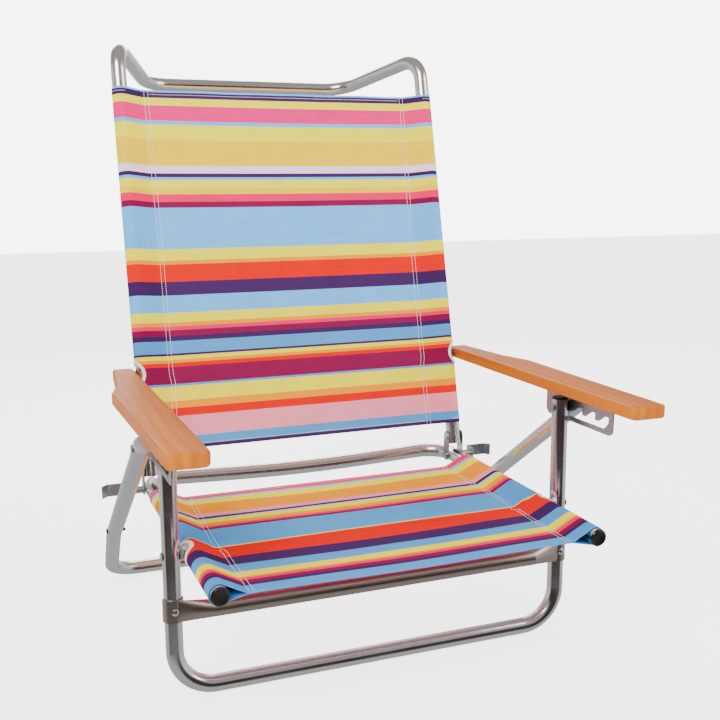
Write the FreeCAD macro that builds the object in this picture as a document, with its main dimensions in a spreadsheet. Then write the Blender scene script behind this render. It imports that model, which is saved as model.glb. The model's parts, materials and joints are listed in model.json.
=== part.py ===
import FreeCAD, Part

import math
import os
import re

import Sketcher

# A low folding beach chair: an aluminium tube seat frame carried on two U-shaped legs, a
# U-shaped back frame hinged at the rear of the seat, two wooden arms with notch plates that
# hook on the leg apex, and two striped slings.
# Millimetres. X is across the chair (+X is the sitter's left), -Y is the front, +Z is up.
# The origin is on the floor, at the middle of the chair's footprint.

doc = FreeCAD.newDocument("beach_chair")

# ---------------------------------------------------------------- driving dimensions
DIMENSIONS = [
    # tube stock
    ("tube_radius", 11.1),
    ("tube_wall", 1.2),
    ("bend_radius", 52.0),
    # half spacings of the tube centre lines
    ("seat_spread", 248.0),
    ("front_spread", 275.0),
    ("rear_spread", 304.0),
    ("rear_foot_spread", 287.0),
    # front leg, side view
    ("foot_y", -188.0),
    ("front_leg_lean", 1.634),
    ("apex_height_on_leg", 315.5),
    ("pivot_height_on_leg", 176.8),
    ("front_leg_length", 327.0),
    ("brace_height_on_leg", 108.0),
    # rear leg, side view
    ("rear_foot_y", 287.0),
    ("rear_leg_tilt", 33.09),
    ("rear_leg_length", 586.5),
    ("rear_apex_on_leg", 577.7),
    ("rear_taper_start", 225.0),
    ("rear_taper_radius", 300.0),
    # seat frame, measured along the seat from the leg pivot
    ("seat_slope", 3.15),
    ("seat_front_reach", 136.7),
    ("seat_rear_reach", 313.3),
    ("seat_bend_radius", 45.0),
    ("seat_bar_dip", 9.0),
    ("seat_bow_radius", 3000.0),
    # hinge plates between seat and back
    ("hinge_reach", 268.4),
    ("hinge_rise", 32.0),
    ("hinge_plate_gap", 0.4),
    ("hinge_plate_thick", 1.6),
    ("hinge_plate_radius", 8.5),
    # back frame, measured along the back from the hinge rivet
    ("back_lean", 11.2),
    ("back_tail", 12.5),
    ("back_shoulder", 630.0),
    ("back_bar_spread", 174.0),
    ("back_bar_setback", 176.0),
    ("shoulder_radius", 36.0),
    ("back_bar_radius", 55.0),
    ("arm_pivot_rise", 136.7),
    # slings
    ("sleeve_gap", 0.4),
    ("sleeve_thick", 1.1),
    ("sling_thick", 1.4),
    ("sling_drop", 4.0),
    ("back_sling_start", 22.0),
    ("back_sling_end", 563.5),
    ("seat_sling_front", 131.0),
    ("seat_sling_rear", 224.0),
    ("pivot_cut_radius", 15.0),
    ("pivot_cut_inset", 2.0),
    # arms, measured from the arm pivot along the board
    ("arm_slope", 2.46),
    ("arm_thick", 17.5),
    ("arm_rear_end", 15.0),
    ("arm_front_end", 479.0),
    ("arm_inner", 261.6),
    ("arm_neck_rear", 291.0),
    ("arm_neck_front", 302.0),
    ("arm_wide", 316.5),
    ("arm_front_wide", 310.0),
    ("arm_neck_reach", 97.0),
    ("arm_shoulder_reach", 150.0),
    ("arm_front_chamfer_x", 4.0),
    ("arm_front_chamfer_y", 8.0),
    ("arm_corner_radius", 6.0),
    ("arm_shoulder_radius", 30.0),
    ("arm_edge_radius", 3.5),
    # notch plates, measured from the arm pivot along the board
    ("plate_inner", 288.6),
    ("plate_thick", 1.6),
    ("plate_front", 401.5),
    ("plate_rear", 243.0),
    ("plate_depth", 41.2),
    ("slot_front", 391.2),
    ("slot_rear", 261.5),
    ("slot_top_depth", 26.6),
    ("slot_floor_depth", 34.2),
    ("notch_depth", 9.3),
    ("notch_pitch", 29.6),
    ("first_notch", 268.7),
    ("notch_half_width", 3.6),
    ("notch_slope", 33.0),
    ("slot_corner", 9.5),
    ("plate_corner_radius", 10.0),
    ("flange_width", 12.0),
    ("screw_radius", 1.7),
    ("screw_head_radius", 3.6),
    ("screw_length", 13.0),
    ("screw_point", 2.0),
    ("screw_inset", 18.0),
    # fasteners
    ("rivet_radius", 3.0),
    ("rivet_head_radius", 5.6),
    ("rivet_head_thick", 2.2),
    ("bolt_radius", 3.2),
    ("bolt_head_radius", 5.8),
    ("bolt_recess_depth", 3.0),
    ("running_gap", 0.05),
    ("touch_gap", 0.1),
    ("nut_thick", 2.6),
    ("apex_head_thick", 3.3),
    ("apex_head_bevel", 1.0),
    ("washer_radius", 8.0),
    ("washer_thick", 2.1),
    ("pivot_spacer_radius", 6.5),
    ("pivot_spacer_thick", 4.4),
    ("rivet_tail_radius", 4.2),
    ("rivet_tail_thick", 2.4),
    ("rivet_tail_gap", 1.0),
    ("rivet_foot_thick", 2.0),
    # tube plugs and caps
    ("plug_crown", 3.4),
    ("plug_lip", 0.4),
    ("plug_skirt", 14.0),
    ("cap_crown", 3.0),
    ("cap_lip", 0.5),
    ("cap_skirt", 5.0),
    # front brace, measured ahead of the front leg
    ("brace_ahead", 16.0),
    ("brace_round_end", 226.0),
    ("brace_flat_end", 270.0),
    ("brace_flat_ahead", 10.8),
    ("brace_end_height", 29.0),
    ("brace_end_thick", 4.0),
    ("brace_wrap_thick", 2.0),
    ("brace_wrap_open", -1.0),
    ("brace_rivet_radius", 2.4),
    ("brace_rivet_head", 4.4),
    ("brace_rivet_head_thick", 1.8),
    ("brace_tail_radius", 3.4),
    ("brace_tail_thick", 1.8),
    ("brace_tail_gap", 0.6),
    # stop pins through the rear legs
    ("stop_pin_height", 242.0),
    ("stop_pin_radius", 2.5),
    ("stop_pin_head", 4.2),
    ("stop_pin_head_thick", 1.6),
    ("stop_pin_spike", 5.0),
    ("stop_pin_point", 1.5),
    # saddles behind the rear legs
    ("saddle_spacer_radius", 5.2),
    ("saddle_inner", 280.0),
    ("saddle_outer", 312.0),
    ("saddle_lip", 11.0),
    ("saddle_height", 18.5),
    ("saddle_thick", 1.6),
    ("saddle_reach", 13.0),
    ("saddle_margin", 2.5),
]

sheet = doc.addObject("Spreadsheet::Sheet", "Sheet")
for row, (alias, size) in enumerate(DIMENSIONS, start=1):
    sheet.set(f"A{row}", alias)
    sheet.set(f"B{row}", str(size))
    sheet.setAlias(f"B{row}", alias)
doc.recompute()


ALIASES = {alias for alias, _ in DIMENSIONS}


def number(formula):
    """The present value of a formula of sheet aliases."""
    return float(sheet.evalExpression(str(formula)))


def bind(target, prop, formula):
    """Ties a property to a formula of sheet aliases."""
    words = re.split(r"(\w+)", str(formula))
    target.setExpression(prop, "".join("Sheet." + word if word in ALIASES else word for word in words))


# ---------------------------------------------------------------- side-view frames
# Each moving group is drawn in its own frame: x across the chair, y along its tubes, z square
# to them. A frame is the formula of its origin (y, z) and of its turn about X.
def offset(frame, along, square):
    """The formulas of a point (along, square) of a frame, as world y and z."""
    y0, z0, turn = frame
    y = f"({y0} + ({along}) * cos({turn}) - ({square}) * sin({turn}))"
    z = f"({z0} + ({along}) * sin({turn}) + ({square}) * cos({turn}))"
    return y, z


FRONT_LEG = ("foot_y", "tube_radius", "(90 + front_leg_lean)")
REAR_LEG = ("rear_foot_y", "tube_radius", "(180 - rear_leg_tilt)")
SEAT = (*offset(FRONT_LEG, "pivot_height_on_leg", "0"), "seat_slope")
BACK = (*offset(SEAT, "hinge_reach", "hinge_rise"), "(90 - back_lean)")
ARM = (*offset(BACK, "arm_pivot_rise", "0"), "arm_slope")


def place(target, frame, x="0", along="0"):
    """Puts an object at a point along a frame, turned with it."""
    y, z = offset(frame, along, "0")
    turn = FreeCAD.Rotation(FreeCAD.Vector(1, 0, 0), number(frame[2]))
    target.Placement = FreeCAD.Placement(FreeCAD.Vector(number(x), number(y), number(z)), turn)
    bind(target, "Placement.Base.x", x)
    bind(target, "Placement.Base.y", y)
    bind(target, "Placement.Base.z", z)
    bind(target, "Placement.Rotation.Angle", frame[2])


# ---------------------------------------------------------------- modelling helpers
SUBPARTS = []
SIDES = (("left", 1), ("right", -1))
CLOSE = 0.01
ACROSS = FreeCAD.Vector(1, 0, 0)
TURN_PLANES = {"X": ("XY_Plane", "H_Axis"), "Y": ("XY_Plane", "V_Axis"), "Z": ("XZ_Plane", "V_Axis")}


def new_body(label, subpart=True):
    """A PartDesign body; a sub-part's label names its file."""
    body = doc.addObject("PartDesign::Body", label)
    body.Label = label
    if subpart:
        SUBPARTS.append(body)
    return body


def new_sketch(body, name, plane, height="0"):
    """A sketch on one of the body's own origin planes, moved along the plane's normal."""
    sketch = body.newObject("Sketcher::SketchObject", name)
    support = [item for item in body.Origin.OriginFeatures if item.Role == plane][0]
    sketch.AttachmentSupport = [(support, "")]
    sketch.MapMode = "FlatFace"
    bind(sketch, "AttachmentOffset.Base.z", height)
    doc.recompute()
    return sketch


def pin_point(sketch, geometry, end, point):
    """Ties one end (or the centre, 3) of a sketch curve to a pair of formulas."""
    for kind, formula in zip(("DistanceX", "DistanceY"), point):
        rule = Sketcher.Constraint(kind, -1, 1, geometry, end, number(formula))
        index = sketch.addConstraint(rule)
        bind(sketch, f"Constraints[{index}]", formula)


def draw_outline(sketch, points):
    """A closed polygon whose every corner is a pair of formulas."""
    first = sketch.GeometryCount
    corners = [FreeCAD.Vector(number(x), number(y), 0) for x, y in points]
    count = len(corners)
    for index in range(count):
        sketch.addGeometry(Part.LineSegment(corners[index], corners[(index + 1) % count]))
    for index in range(count):
        here = first + index
        after = first + (index + 1) % count
        sketch.addConstraint(Sketcher.Constraint("Coincident", here, 2, after, 1))
    for index, point in enumerate(points):
        pin_point(sketch, first + index, 1, point)


def draw_circle(sketch, centre, radius):
    """A circle whose centre and radius are formulas."""
    middle = FreeCAD.Vector(number(centre[0]), number(centre[1]), 0)
    circle = Part.Circle(middle, FreeCAD.Vector(0, 0, 1), number(radius))
    here = sketch.addGeometry(circle)
    pin_point(sketch, here, 3, centre)
    index = sketch.addConstraint(Sketcher.Constraint("Radius", here, number(radius)))
    bind(sketch, f"Constraints[{index}]", radius)


def add_pad(body, sketch, length, reverse=False, midplane=False):
    """Pads a sketch by a formula."""
    pad = body.newObject("PartDesign::Pad", sketch.Name + "_pad")
    pad.Profile = sketch
    bind(pad, "Length", length)
    pad.Reversed = reverse
    if midplane:
        pad.SideType = "Symmetric"
    doc.recompute()


def add_pocket(body, sketch, length, reverse=False, midplane=False):
    """Pockets a sketch by a formula, and stops if nothing was cut."""
    before = body.Shape.Volume
    pocket = body.newObject("PartDesign::Pocket", sketch.Name + "_pocket")
    pocket.Profile = sketch
    bind(pocket, "Length", length)
    pocket.Reversed = reverse
    if midplane:
        pocket.SideType = "Symmetric"
    doc.recompute()
    if body.Shape.Volume > before - CLOSE:
        raise RuntimeError(f"{body.Label}: {sketch.Name} cuts nothing")


def add_fillet(body, radius, chosen):
    """Rounds the edges of the body's tip that chosen(edge) picks."""
    tip = body.Tip
    names = [f"Edge{i}" for i, edge in enumerate(tip.Shape.Edges, start=1) if chosen(edge)]
    fillet = body.newObject("PartDesign::Fillet", body.Label + "_fillet")
    fillet.Base = (tip, names)
    bind(fillet, "Radius", radius)
    doc.recompute()


def turned(label, profile, axis="X", subpart=True):
    """A round piece about an axis of its own body: the profile is (axial, radial) formulas."""
    body = new_body(label, subpart)
    plane, sketch_axis = TURN_PLANES[axis]
    sketch = new_sketch(body, label + "_profile", plane)
    if sketch_axis == "V_Axis":
        profile = [(radial, axial) for axial, radial in profile]
    draw_outline(sketch, profile)
    spin = body.newObject("PartDesign::Revolution", label + "_spin")
    spin.Profile = sketch
    spin.ReferenceAxis = (sketch, [sketch_axis])
    spin.Angle = 360
    doc.recompute()
    return body


def shaft_profile(*steps):
    """The half profile of a stepped shaft: each step is (from, to, radius)."""
    points = [(steps[0][0], "0")]
    for start, end, radius in steps:
        points.append((start, radius))
        points.append((end, radius))
    points.append((steps[-1][1], "0"))
    return points


def ring_profile(start, end, outer, inner):
    """The half profile of a plain ring."""
    return [(start, inner), (start, outer), (end, outer), (end, inner)]


# the corners of a domed head, as parts of its height and of its radius
HEAD_SHAPE = [(0, 1), (0.45, 1), (0.85, 0.72), (1, 0.4), (1, 0)]


def head_profile(shank_points, base, height, radius):
    """Adds a domed head above base to the last points of a shaft's half profile."""
    head = [(f"({base} + {up} * {height})", f"{wide} * {radius}") for up, wide in HEAD_SHAPE]
    return shank_points + head


def group(label, pieces):
    """One node that holds several separate solids."""
    node = doc.addObject("Part::Compound", label)
    node.Label = label
    node.Links = pieces
    SUBPARTS.append(node)
    return node


def cross_pieces(label, profile, frame, along="0"):
    """A turned piece on each side of the chair, about the frame's x; a list of two bodies."""
    pieces = []
    for side_name, side in SIDES:
        points = profile
        if side < 0:
            points = [(f"-({axial})", radial) for axial, radial in profile]
        piece = turned(f"{side_name}_{label}", points, subpart=False)
        place(piece, frame, along=along)
        pieces.append(piece)
    return pieces


def cross_pair(label, profile, frame, along="0"):
    """Two identical turned pieces across the chair, as one node of two solids."""
    group(label, cross_pieces(label, profile, frame, along))


def lengthwise_pair(label, profile, frame, spread, along="0", axis="Y"):
    """Two identical pieces turned about the frame's y or z, as one node of two solids."""
    pieces = []
    for side_name, side in SIDES:
        piece = turned(f"{side_name}_{label}", profile, axis=axis, subpart=False)
        place(piece, frame, x=f"{side} * {spread}", along=along)
        pieces.append(piece)
    group(label, pieces)


def rounded_path(points, radii):
    """A wire of straight runs and tangent arcs: one radius for each inner point."""
    edges = []
    start = points[0]
    for index, radius in enumerate(radii, start=1):
        before, corner, after = points[index - 1], points[index], points[index + 1]
        back = (before - corner).normalize()
        ahead = (after - corner).normalize()
        half_turn = (math.pi - back.getAngle(ahead)) / 2
        reach = radius * math.tan(half_turn)
        arc_start = corner + back * reach
        arc_end = corner + ahead * reach
        inward = (back + ahead).normalize()
        middle = corner + inward * (radius / math.cos(half_turn) - radius)
        edges.append(Part.LineSegment(start, arc_start).toShape())
        edges.append(Part.Arc(arc_start, middle, arc_end).toShape())
        start = arc_end
    edges.append(Part.LineSegment(start, points[-1]).toShape())
    return Part.Wire(edges)


def swept_rod(path, radius):
    """A solid of round section along a path."""
    start = path.OrderedEdges[0].firstVertex(True).Point
    tangent = path.OrderedEdges[0].tangentAt(path.OrderedEdges[0].FirstParameter)
    section = Part.Wire(Part.makeCircle(radius, start, tangent))
    return path.makePipeShell([section], True, False)


def cross_drill(radius, first, last, along):
    """A drill along x between two distances from the chair's middle plane; last may be less."""
    start = FreeCAD.Vector(min(first, last), along, 0)
    return Part.makeCylinder(radius, abs(last - first), start, ACROSS)


def bent_tube(label, frame, points, radii, holes):
    """A tube bent along corner points of its frame, with holes drilled across both sides.

    Each hole is (distance along y, radius, first x, last x), for the +X side.
    """
    radius = number("tube_radius")
    path = rounded_path([FreeCAD.Vector(*point) for point in points], radii)
    shape = swept_rod(path, radius).cut(swept_rod(path, radius - number("tube_wall")))
    for along, hole_radius, first, last in holes:
        for side in (-1, 1):
            shape = shape.cut(cross_drill(hole_radius, side * first, side * last, along))
    tube = doc.addObject("Part::Feature", label)
    tube.Label = label
    tube.Shape = shape
    place(tube, frame)
    SUBPARTS.append(tube)


TUBE_BORE = "(tube_radius - tube_wall)"
PLUG_FIT = "(tube_radius - tube_wall - 3 * touch_gap)"


def plug_profile(crown, lip, skirt, outward):
    """The half profile of a domed plug in a tube's end, which faces outward (1 or -1)."""
    profile = [
        (crown, "0"),
        (crown, f"tube_radius - 0.7 * {crown}"),
        (f"0.75 * {crown}", f"tube_radius - 0.15 * {crown}"),
        (f"0.4 * {crown}", f"tube_radius + {lip}"),
        ("0", f"tube_radius + {lip}"),
        ("0", PLUG_FIT),
        (f"-{skirt}", PLUG_FIT),
        (f"-{skirt}", "0"),
    ]
    return [(f"{outward} * ({axial})", radial) for axial, radial in profile]


def tail_in_bore(bore_face):
    """The formed tail of a rivet inside a tube, as a step of a shaft's profile."""
    end = f"({bore_face} - rivet_tail_gap)"
    return f"({end} - rivet_tail_thick)", end, "rivet_tail_radius"


# ---------------------------------------------------------------- seat frame and its fasteners
def seat_frame():
    spread = number("seat_spread")
    front = -number("seat_front_reach")
    rear = number("seat_rear_reach")
    across = number("2 * tube_radius")
    bend = number("seat_bend_radius")
    points = [
        (-spread, front, 0),
        (-spread, rear, 0),
        (0, rear, -number("seat_bar_dip")),
        (spread, rear, 0),
        (spread, front, 0),
    ]
    holes = [
        (0, number("rivet_radius"), spread, spread + across),
        (number("hinge_reach"), number("bolt_radius"), spread - across, spread + across),
    ]
    bent_tube("seat_frame", SEAT, points, [bend, number("seat_bow_radius"), bend], holes)


def seat_front_plugs():
    profile = plug_profile("plug_crown", "plug_lip", "plug_skirt", -1)
    lengthwise_pair("seat_front_plugs", profile, SEAT, "seat_spread", "-seat_front_reach")


def seat_pivots():
    """The rivets that hold the seat tubes inside the front legs, and their spacers."""
    tail = tail_in_bore("(seat_spread + tube_radius - tube_wall)")
    spacer_start = "(seat_spread + tube_radius + touch_gap)"
    leg_face = "(front_spread + tube_radius + 2 * touch_gap)"
    shank = shaft_profile(tail, (tail[1], leg_face, "rivet_radius"))
    profile = head_profile(shank[:-1], leg_face, "rivet_head_thick", "rivet_head_radius")
    cross_pair("seat_pivot_rivets", profile, SEAT)
    ring = ring_profile(spacer_start, f"({spacer_start} + pivot_spacer_thick)", "pivot_spacer_radius",
                        "rivet_radius + running_gap")
    cross_pair("seat_pivot_spacers", ring, SEAT)


# ---------------------------------------------------------------- hinge and saddles
def hinge_plate(label, x):
    """A strap that joins the seat tube's bolt to the back tube's rivet, on one face of both."""
    body = new_body(label)
    outline = new_sketch(body, label + "_outline", "YZ_Plane")
    draw_outline(outline, [("-hinge_plate_radius", "0"), ("hinge_plate_radius", "0"),
                           ("hinge_plate_radius", "hinge_rise"), ("-hinge_plate_radius", "hinge_rise")])
    add_pad(body, outline, "hinge_plate_thick")
    for name, height in (("lower_end", "0"), ("upper_end", "hinge_rise")):
        end = new_sketch(body, f"{label}_{name}", "YZ_Plane")
        draw_circle(end, ("0", height), "hinge_plate_radius")
        add_pad(body, end, "hinge_plate_thick")
    holes = new_sketch(body, label + "_holes", "YZ_Plane")
    draw_circle(holes, ("0", "0"), "bolt_radius")
    draw_circle(holes, ("0", "hinge_rise"), "rivet_radius + running_gap")
    add_pocket(body, holes, "hinge_plate_thick", reverse=True)
    place(body, SEAT, x=x, along="hinge_reach")


HINGE_NEAR = "(seat_spread - tube_radius - hinge_plate_gap - hinge_plate_thick)"
HINGE_FAR = "(seat_spread + tube_radius + hinge_plate_gap + hinge_plate_thick)"


def hinge_plates():
    for side_name, side in SIDES:
        for face, start in (("inner", HINGE_NEAR), ("outer", f"({HINGE_FAR} - hinge_plate_thick)")):
            x = start if side > 0 else f"-({start} + hinge_plate_thick)"
            hinge_plate(f"{side_name}_{face}_hinge_plate", x)


def saddle_bolts():
    nut_face = f"({HINGE_NEAR} - touch_gap)"
    nut_end = f"({nut_face} - nut_thick)"
    outer = "(saddle_inner + saddle_thick)"
    shank = [(nut_end, "0"), (nut_end, "bolt_head_radius"), (nut_face, "bolt_head_radius"),
             (nut_face, "bolt_radius"), (outer, "bolt_radius")]
    profile = head_profile(shank, outer, "rivet_head_thick", "bolt_head_radius")
    cross_pair("saddle_bolts", profile, SEAT, along="hinge_reach")


def saddles():
    """A spacer and a hooked plate on each side that catch the rear leg when the chair is open."""
    ring = ring_profile(HINGE_FAR, "saddle_inner", "saddle_spacer_radius", "bolt_radius")
    for piece, (side_name, _) in zip(cross_pieces("saddle_spacer", ring, SEAT, along="hinge_reach"), SIDES):
        SUBPARTS.append(piece)
    lip = "saddle_lip * sqrt(0.5)"
    step = "saddle_thick * (sqrt(2) - 1)"
    slant = "saddle_thick * sqrt(0.5)"
    inner_x = "(saddle_inner + saddle_thick)"
    web_y = "(saddle_reach - saddle_thick)"
    for side_name, side in SIDES:
        body = new_body(f"{side_name}_saddle_plate")
        outline = new_sketch(body, body.Label + "_outline", "XY_Plane")
        corners = [
            ("saddle_inner", "-bolt_head_radius - saddle_margin"),
            (inner_x, "-bolt_head_radius - saddle_margin"),
            (inner_x, web_y),
            (f"saddle_outer - {step}", web_y),
            (f"saddle_outer - {step} + {lip}", f"{web_y} - {lip}"),
            (f"saddle_outer - {step} + {lip} + {slant}", f"{web_y} - {lip} + {slant}"),
            ("saddle_outer", "saddle_reach"),
            ("saddle_inner", "saddle_reach"),
        ]
        draw_outline(outline, [(f"{side} * ({x})", y) for x, y in corners])
        add_pad(body, outline, "saddle_height", midplane=True)
        hole = new_sketch(body, body.Label + "_hole", "YZ_Plane")
        draw_circle(hole, ("0", "0"), "bolt_radius")
        add_pocket(body, hole, "2 * saddle_outer", midplane=True)
        place(body, SEAT, along="hinge_reach")


def back_hinge_rivets():
    near = f"({HINGE_NEAR} - touch_gap)"
    far = f"({HINGE_FAR} + touch_gap)"
    foot = f"({near} - rivet_foot_thick)"
    shank = [(foot, "0"), (foot, "0.6 * rivet_head_radius"),
             (f"({near} - rivet_foot_thick / 2)", "rivet_head_radius"), (near, "rivet_head_radius"),
             (near, "rivet_radius"), (far, "rivet_radius")]
    profile = head_profile(shank, far, "rivet_head_thick", "rivet_head_radius")
    cross_pair("back_hinge_rivets", profile, BACK)


# ---------------------------------------------------------------- front leg group
def front_leg_frame():
    body = new_body("front_leg_frame")
    path = new_sketch(body, "front_leg_path", "XY_Plane")
    spread = number("front_spread")
    top = number("front_leg_length")
    bend = number("bend_radius")
    vector = FreeCAD.Vector
    square_up = vector(0, 0, 1)
    path.addGeometry(Part.LineSegment(vector(-spread, top, 0), vector(-spread, bend, 0)))
    left_circle = Part.Circle(vector(bend - spread, bend, 0), square_up, bend)
    path.addGeometry(Part.ArcOfCircle(left_circle, math.pi, 1.5 * math.pi))
    path.addGeometry(Part.LineSegment(vector(bend - spread, 0, 0), vector(spread - bend, 0, 0)))
    right_circle = Part.Circle(vector(spread - bend, bend, 0), square_up, bend)
    path.addGeometry(Part.ArcOfCircle(right_circle, 1.5 * math.pi, 2 * math.pi))
    path.addGeometry(Part.LineSegment(vector(spread, bend, 0), vector(spread, top, 0)))
    for joint in ((0, 2, 1, 1), (1, 2, 2, 1), (2, 2, 3, 1), (3, 2, 4, 1)):
        path.addConstraint(Sketcher.Constraint("Tangent", *joint))
    path.addConstraint(Sketcher.Constraint("Vertical", 0))
    path.addConstraint(Sketcher.Constraint("Horizontal", 2))
    path.addConstraint(Sketcher.Constraint("Vertical", 4))
    path.addConstraint(Sketcher.Constraint("PointOnObject", 2, 1, -1))
    path.addConstraint(Sketcher.Constraint("Equal", 1, 3))
    radius_rule = path.addConstraint(Sketcher.Constraint("Radius", 1, bend))
    bind(path, f"Constraints[{radius_rule}]", "bend_radius")
    pin_point(path, 0, 1, ("-front_spread", "front_leg_length"))
    pin_point(path, 4, 2, ("front_spread", "front_leg_length"))

    section = new_sketch(body, "front_leg_section", "XZ_Plane", "-front_leg_length")
    draw_circle(section, ("-front_spread", "0"), "tube_radius")
    draw_circle(section, ("-front_spread", "0"), "tube_radius - tube_wall")
    doc.recompute()
    pipe = body.newObject("PartDesign::AdditivePipe", "front_leg_tube")
    pipe.Profile = section
    pipe.Spine = (path, [f"Edge{index}" for index in range(1, 6)])
    doc.recompute()

    cross_holes = new_sketch(body, "front_leg_cross_holes", "YZ_Plane")
    draw_circle(cross_holes, ("apex_height_on_leg", "0"), "bolt_radius")
    draw_circle(cross_holes, ("pivot_height_on_leg", "0"), "rivet_radius + running_gap")
    add_pocket(body, cross_holes, "3 * front_spread", midplane=True)
    brace_holes = new_sketch(body, "front_leg_brace_holes", "XY_Plane")
    for _, side in SIDES:
        draw_circle(brace_holes, (f"{side} * front_spread", "brace_height_on_leg"), "brace_rivet_radius")
    add_pocket(body, brace_holes, "2 * tube_radius", reverse=True)
    place(body, FRONT_LEG)


def leg_caps(label, frame, spread, length):
    lengthwise_pair(label, plug_profile("cap_crown", "cap_lip", "cap_skirt", 1), frame, spread, length)


def flat_oval(x, half_y, half_z, z):
    """An oval wire square to x."""
    flat = Part.Ellipse(FreeCAD.Vector(0, 0, 0), max(half_y, half_z), min(half_y, half_z))
    wire = Part.Wire(flat.toShape())
    if half_z > half_y:
        wire.rotate(FreeCAD.Vector(0, 0, 0), FreeCAD.Vector(0, 0, 1), 90)
    wire.rotate(FreeCAD.Vector(0, 0, 0), FreeCAD.Vector(1, 1, 1), 120)
    wire.translate(FreeCAD.Vector(x, 0, z))
    return wire


def front_brace():
    """A cross tube whose flattened ends wrap round the front of both legs."""
    tube_radius = number("tube_radius")
    spread = number("front_spread")
    ahead = number("brace_ahead")
    round_end = number("brace_round_end")
    flat_end = number("brace_flat_end")
    flat_ahead = number("brace_flat_ahead")
    half_height = number("brace_end_height / 2")
    half_thick = number("brace_end_thick / 2")
    up_leg = FreeCAD.Vector(0, 1, 0)
    rod_start = FreeCAD.Vector(-round_end, 0, ahead)
    solid = Part.makeCylinder(tube_radius, 2 * round_end, rod_start, ACROSS)
    ends = []
    cuts = [Part.makeCylinder(number(TUBE_BORE), 2 * round_end, rod_start, ACROSS)]
    for _, side in SIDES:
        half_way = (round_end + flat_end) / 2
        ends.append(Part.makeLoft([
            flat_oval(side * round_end, tube_radius, tube_radius, ahead),
            flat_oval(side * half_way, (tube_radius + half_height) / 2, (tube_radius + half_thick) / 2,
                      (ahead + flat_ahead) / 2),
            flat_oval(side * flat_end, half_height, half_thick, flat_ahead),
        ], True))
        foot = FreeCAD.Vector(side * spread, -half_height, 0)
        ends.append(Part.makeCylinder(tube_radius + number("brace_wrap_thick"), 2 * half_height, foot, up_leg))
        leg_radius = tube_radius + number("running_gap")
        cuts.append(Part.makeCylinder(leg_radius, 4 * half_height, foot - up_leg * half_height, up_leg))
        behind = FreeCAD.Vector(side * spread - 2 * tube_radius, -2 * half_height,
                                number("brace_wrap_open - 4 * tube_radius"))
        cuts.append(Part.makeBox(4 * tube_radius, 4 * half_height, 4 * tube_radius, behind))
        rivet_start = FreeCAD.Vector(side * spread, 0, 0)
        cuts.append(Part.makeCylinder(number("brace_rivet_radius"), 3 * tube_radius, rivet_start))
    shape = solid.fuse(ends).cut(cuts)
    brace = doc.addObject("Part::Feature", "front_brace")
    brace.Label = "front_brace"
    brace.Shape = shape
    place(brace, FRONT_LEG, along="brace_height_on_leg")
    SUBPARTS.append(brace)


def brace_rivets():
    wrap_face = "(tube_radius + brace_wrap_thick)"
    tail_end = f"({TUBE_BORE} - brace_tail_gap)"
    shank = shaft_profile((f"({tail_end} - brace_tail_thick)", tail_end, "brace_tail_radius"),
                          (tail_end, wrap_face, "brace_rivet_radius"))
    profile = head_profile(shank[:-1], wrap_face, "brace_rivet_head_thick", "brace_rivet_head")
    lengthwise_pair("brace_rivets", profile, FRONT_LEG, "front_spread", "brace_height_on_leg", axis="Z")


def apex_bolts():
    """The bolts at the top of the front legs that carry the rear legs and the notch plates."""
    head_face = "(front_spread - tube_radius - touch_gap)"
    head_top = f"({head_face} - apex_head_thick)"
    washer_end = "(front_spread + tube_radius + washer_thick)"
    profile = [(head_top, "0"), (head_top, "0.7 * bolt_head_radius"),
               (f"({head_top} + apex_head_bevel)", "bolt_head_radius"), (head_face, "bolt_head_radius"),
               (head_face, "bolt_radius"), (washer_end, "bolt_radius"), (washer_end, "0")]
    cross_pair("apex_bolts", profile, FRONT_LEG, along="apex_height_on_leg")
    ring = ring_profile("(front_spread + tube_radius)", washer_end, "washer_radius", "bolt_radius")
    cross_pair("apex_washers", ring, FRONT_LEG, along="apex_height_on_leg")


# ---------------------------------------------------------------- rear leg group
def rear_leg_frame():
    top_spread = number("rear_spread")
    foot_spread = number("rear_foot_spread")
    taper = number("rear_taper_start")
    top = number("rear_leg_length")
    bend = number("bend_radius")
    across = number("2 * tube_radius")
    bow = number("rear_taper_radius")
    points = [
        (-top_spread, top, 0),
        (-top_spread, taper, 0),
        (-foot_spread, 0, 0),
        (foot_spread, 0, 0),
        (top_spread, taper, 0),
        (top_spread, top, 0),
    ]
    holes = [
        (number("rear_apex_on_leg"), number("bolt_radius"), top_spread - across, top_spread + across),
        (number("stop_pin_height"), number("stop_pin_radius"), top_spread - across, top_spread + across),
    ]
    bent_tube("rear_leg_frame", REAR_LEG, points, [bow, bend, bend, bow], holes)


def rear_leg_fasteners():
    """The rear half of each apex bolt with its washer, and the stop pin above the saddle."""
    leg_inner = "(rear_spread - tube_radius)"
    leg_outer = "(rear_spread + tube_radius + touch_gap)"
    washer_start = f"({leg_inner} - washer_thick)"
    shank = [(washer_start, "0"), (washer_start, "washer_radius"), (leg_inner, "washer_radius"),
             (leg_inner, "bolt_radius"), (leg_outer, "bolt_radius")]
    profile = head_profile(shank, leg_outer, "rivet_head_thick", "rivet_head_radius")
    cross_pair("rear_apex_rivets", profile, REAR_LEG, along="rear_apex_on_leg")
    spike = f"({leg_inner} - stop_pin_spike)"
    pin = [(spike, "0"), (f"({spike} + stop_pin_point)", "stop_pin_radius"), (leg_outer, "stop_pin_radius")]
    profile = head_profile(pin, leg_outer, "stop_pin_head_thick", "stop_pin_head")
    cross_pair("leg_stop_pins", profile, REAR_LEG, along="stop_pin_height")


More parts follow.
